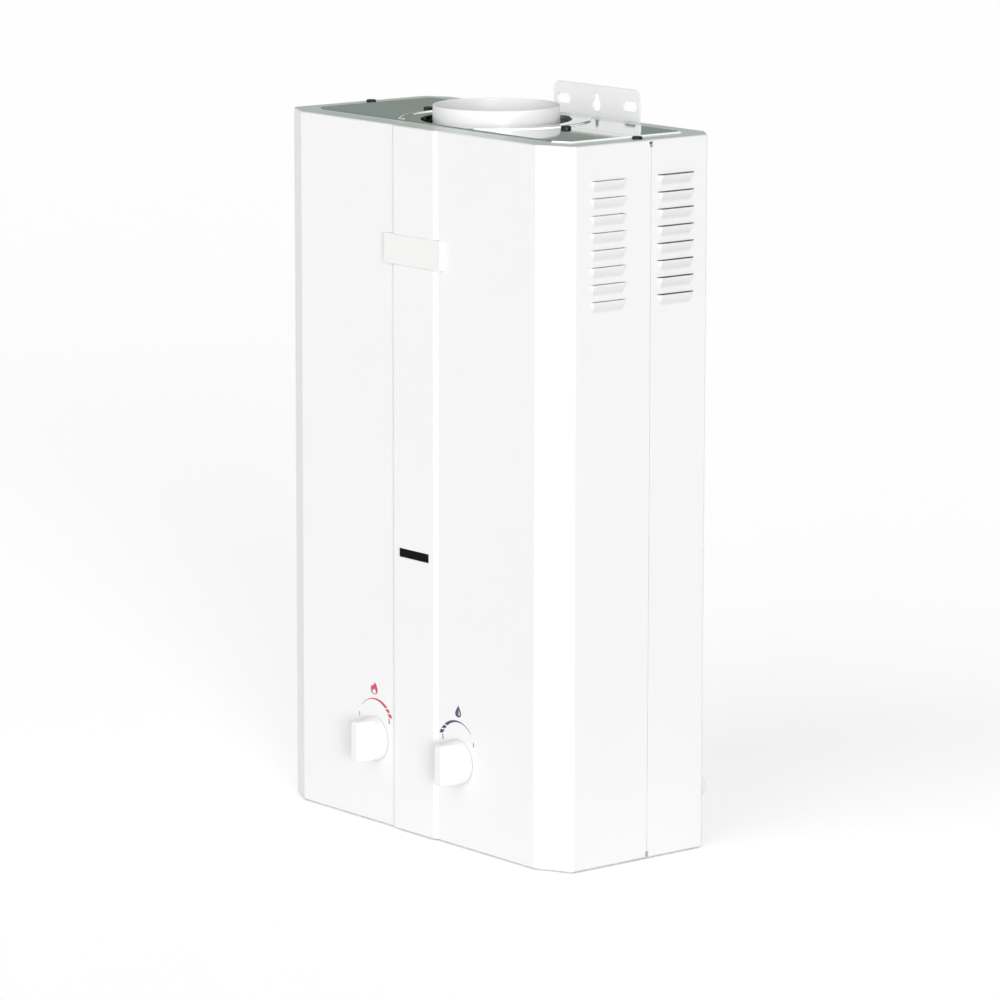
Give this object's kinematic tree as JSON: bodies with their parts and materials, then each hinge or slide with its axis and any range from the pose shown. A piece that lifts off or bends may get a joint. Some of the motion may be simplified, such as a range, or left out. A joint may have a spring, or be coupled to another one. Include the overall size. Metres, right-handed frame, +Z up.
{
  "type": "portable propane water heater",
  "caption": "Wall-hung portable gas water heater: steel casing with louvred sides, two knobs, flue collar and wall bracket, with its burner, exchanger and valves inside.",
  "frame": {"origin": "on the floor plane under the middle of the whole object's box", "axes": "+X to the right seen from the front, +Y from the knobs to the wall, +Z up"},
  "size_m": [0.3074, 0.1778, 0.503],
  "materials": {
    "casing_enamel": "satin powder coat, off-white",
    "polished_steel": "polished, mirror-like",
    "black_screws": "black oxide",
    "zinc_steel": "zinc plated",
    "black_plastic": "satin black",
    "rubber": "matt",
    "dark_glass": "dark, clear surface",
    "brass": "machined",
    "cast_aluminium": "as cast",
    "copper": "copper, bright",
    "steel": "plain",
    "ceramic": "unglazed white",
    "white_plastic": "smooth white moulding",
    "cell_wrap": "printed wrap, plain"
  },
  "bodies": {
    "casing": {"front_cover": "casing_enamel", "rear_case": "casing_enamel", "top_front_plate": "polished_steel", "top_rear_plate": "polished_steel", "top_screws": "black_screws", "base_tray": "zinc_steel", "case_screws": "zinc_steel", "wall_bracket": "casing_enamel", "bracket_screws": "zinc_steel", "wall_spacers": "rubber", "badge_plate": "white_plastic", "sight_window": "dark_glass", "gland_nuts": "brass", "gas_valve_body": "cast_aluminium", "gas_valve_cap": "brass", "gas_valve_spring": "steel", "diaphragm": "rubber", "diaphragm_cover": "brass", "diaphragm_bolts": "steel", "water_valve_body": "brass", "relief_valve": "black_plastic", "valve_bridge": "zinc_steel", "micro_switch": "black_plastic", "solenoid_coil": "black_plastic", "gas_inlet_fitting": "brass", "cold_inlet_fitting": "brass", "hot_outlet_fitting": "brass", "fitting_nuts": "brass", "fitting_gaskets": "rubber", "inlet_filter": "white_plastic", "union_nuts": "zinc_steel", "gas_pipe": "cast_aluminium", "gas_manifold": "cast_aluminium", "gas_nozzles": "brass", "burner_tray": "steel", "burner_bars": "steel", "spark_electrode": "ceramic", "flame_sensor": "ceramic", "combustion_chamber": "copper", "exchanger_tube": "copper", "exchanger_fins": "copper", "chamber_brackets": "steel", "heat_shield": "steel", "flue_hood": "steel", "flue_collar": "casing_enamel", "overheat_thermostat": "steel", "ignition_module": "black_plastic", "battery_box": "black_plastic", "battery_hinge_pin": "steel", "battery_cells": "cell_wrap", "battery_contacts": "steel"},
    "gas_dial": {"gas_knob": "white_plastic", "gas_spindle": "steel"},
    "water_dial": {"water_knob": "white_plastic", "water_spindle": "steel"},
    "rod": {"push_rod": "steel"},
    "lever": {"switch_lever": "steel"},
    "plunger": {"solenoid_plunger": "steel"},
    "door": {"battery_door": "black_plastic", "door_contact": "steel"}
  },
  "joints": [
    {"name": "gas_dial_turn", "type": "hinge", "parent": "casing", "child": "gas_dial", "pos_m": [-0.046, -0.0711, 0.059], "axis": [0, 1, 0], "range_deg": [-50, 50]},
    {"name": "water_dial_turn", "type": "hinge", "parent": "casing", "child": "water_dial", "pos_m": [0.046, -0.0711, 0.059], "axis": [0, 1, 0], "range_deg": [-50, 50]},
    {"name": "rod_slide", "type": "slide", "parent": "casing", "child": "rod", "axis": [-1, 0, 0], "range_m": [0, 0.004], "stiffness_N_per_m": 400, "springref_m": -0.004, "deforming": ["gas_valve_spring"]},
    {"name": "lever_swing", "type": "hinge", "parent": "casing", "child": "lever", "pos_m": [-0.0175, -0.01405, 0.0986], "axis": [0, -1, 0], "range_deg": [0, 6]},
    {"name": "core_slide", "type": "slide", "parent": "casing", "child": "plunger", "axis": [0, 1, 0], "range_m": [0, 0.002], "stiffness_N_per_m": 300, "springref_m": -0.003},
    {"name": "battery_door_swing", "type": "hinge", "parent": "casing", "child": "door", "pos_m": [-0.145, 0.0109, 0.0191], "axis": [0, 1, 0], "range_deg": [0, 95]}
  ],
  "couplings": [
    {"joint": "lever_swing", "follows": "rod_slide", "rad_per_m": 24.39}
  ]
}
